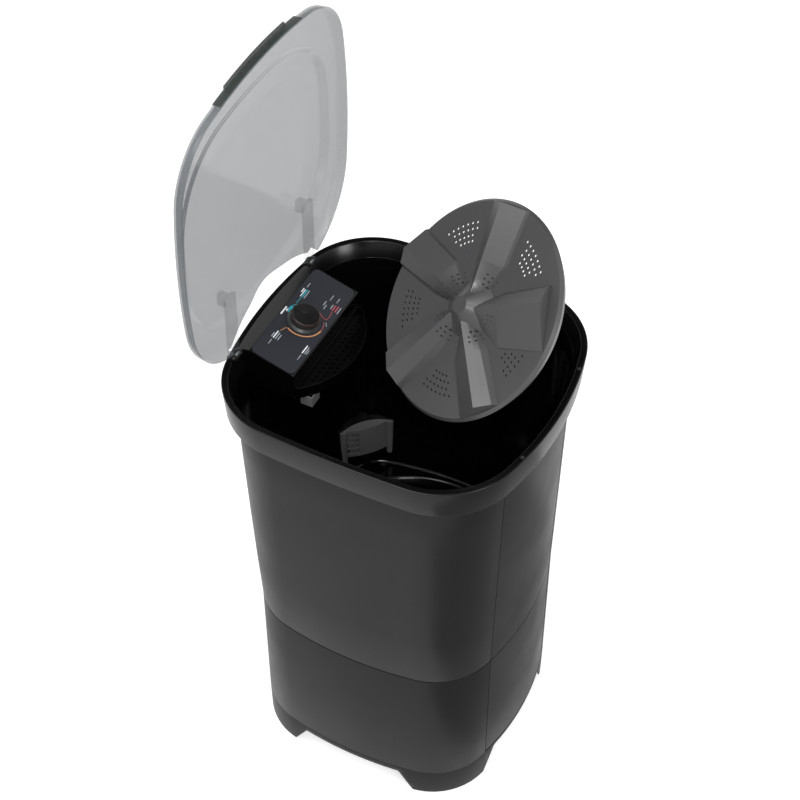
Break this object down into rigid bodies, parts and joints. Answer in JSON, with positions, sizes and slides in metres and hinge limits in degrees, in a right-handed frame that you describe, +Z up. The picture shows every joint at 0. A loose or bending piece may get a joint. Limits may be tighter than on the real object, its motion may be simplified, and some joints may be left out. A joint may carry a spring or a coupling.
{
  "type": "semi-automatic washing machine",
  "caption": "Single-tub top-loading washing machine with flared tub, see-through lid held open on arms, timer knob, soap tray and a vaned pulsator lifted out of the tub",
  "frame": {"origin": "on the floor, at the centre of the four foot holes", "axes": "+Z up, front towards -Y, hinge side towards +Y, +X to the right seen from the front"},
  "size_m": [0.55, 0.5957, 1.5298],
  "materials": {
    "casing_plastic": "satin charcoal ABS",
    "tub_plastic": "glossy black polypropylene",
    "lid_plastic": "smoky see-through styrene",
    "grip_plastic": "satin black ABS",
    "label_sheet": "slate label with dial arcs",
    "knob_plastic": "dark grey ABS",
    "tray_plastic": "dark moulded plastic",
    "spout_plastic": "grey moulded plastic",
    "filter_plastic": "dark moulded plastic",
    "pulsator_plastic": "dark grey polypropylene",
    "rubber_black": "black rubber",
    "steel": "zinc-plated steel",
    "cast_aluminium": "die-cast aluminium",
    "motor_paint": "black enamel",
    "white_nylon": "natural nylon"
  },
  "bodies": {
    "cabinet": {"foot_ring": "casing_plastic", "foot_pads": "rubber_black", "base_skirt": "casing_plastic", "cabinet_shell": "casing_plastic", "front_panel": "casing_plastic", "panel_screws": "steel", "top_frame": "casing_plastic", "wash_tub": "tub_plastic", "control_housing": "tub_plastic", "control_label": "label_sheet", "timer_body": "white_nylon", "soap_tray": "tray_plastic", "soap_strainer": "tray_plastic", "rinse_spout": "spout_plastic", "lid_buffers": "rubber_black", "hinge_brackets": "grip_plastic", "hinge_pins": "steel", "filter_rails": "tub_plastic", "drain_hose": "rubber_black", "drain_outlet": "grip_plastic", "bearing_housing": "cast_aluminium", "housing_bolts": "steel", "upper_bearing": "steel", "lower_bearing": "steel", "shaft_seal": "rubber_black", "drive_belt": "rubber_black", "motor_body": "motor_paint", "motor_plate": "steel", "motor_posts": "steel", "motor_bolts": "steel", "capacitor": "cast_aluminium", "capacitor_clip": "steel", "cable_gland": "grip_plastic"},
    "lid": {"lid_shell": "lid_plastic", "lid_grip": "grip_plastic", "lid_arms": "grip_plastic"},
    "pulsator_carrier": {"latch_ball": "steel"},
    "pulsator_cradle": {"hub_washer": "white_nylon"},
    "pulsator": {"pulsator": "pulsator_plastic", "drive_socket": "steel"},
    "drive": {"drive_shaft": "steel", "driven_pulley": "cast_aluminium", "pulley_nut": "steel"},
    "rotor": {"motor_shaft": "steel", "motor_pulley": "cast_aluminium", "motor_fan": "white_nylon"},
    "knob": {"control_knob": "knob_plastic", "timer_shaft": "steel"},
    "filter": {"drain_filter": "filter_plastic"}
  },
  "joints": [
    {"name": "lid_hinge", "type": "hinge", "parent": "cabinet", "child": "lid", "pos_m": [0, 0.271, 0.962], "axis": [1, 0, 0], "range_deg": [0, 90]},
    {"name": "pulsator_lift", "type": "slide", "parent": "cabinet", "child": "pulsator_carrier", "axis": [0.0061, 0.1411, -0.99], "range_m": [0, 0.73516]},
    {"name": "pulsator_tilt", "type": "hinge", "parent": "pulsator_carrier", "child": "pulsator_cradle", "pos_m": [-0.0045, -0.1037, 1.1368], "axis": [0.51, 0.0561, -0.8583], "range_deg": [0, 104.99]},
    {"name": "pulsator_spin", "type": "hinge", "parent": "pulsator_cradle", "child": "pulsator", "pos_m": [-0.0045, -0.1037, 1.1368], "axis": [-0.6052, 0.4321, 0.6686], "continuous": true},
    {"name": "drive_spin", "type": "hinge", "parent": "cabinet", "child": "drive", "pos_m": [0, 0, 0.3], "axis": [0, 0, 1], "continuous": true},
    {"name": "motor_spin", "type": "hinge", "parent": "cabinet", "child": "rotor", "pos_m": [-0.11468, -0.0803, 0.2], "axis": [0, 0, 1], "continuous": true},
    {"name": "knob_turn", "type": "hinge", "parent": "cabinet", "child": "knob", "pos_m": [0, 0.2115, 0.95615], "axis": [0, -0.2689, 0.9632], "range_deg": [0, 330]},
    {"name": "filter_lift", "type": "slide", "parent": "cabinet", "child": "filter", "axis": [0, 0, 1], "range_m": [0, 0.055]}
  ],
  "couplings": [
    {"joint": "pulsator_lift", "follows": "lid_hinge", "m_per_rad": 0.46802},
    {"joint": "pulsator_tilt", "follows": "lid_hinge", "ratio": 1.1666},
    {"joint": "pulsator_spin", "follows": "drive_spin", "ratio": 1},
    {"joint": "motor_spin", "follows": "drive_spin", "ratio": 4}
  ]
}
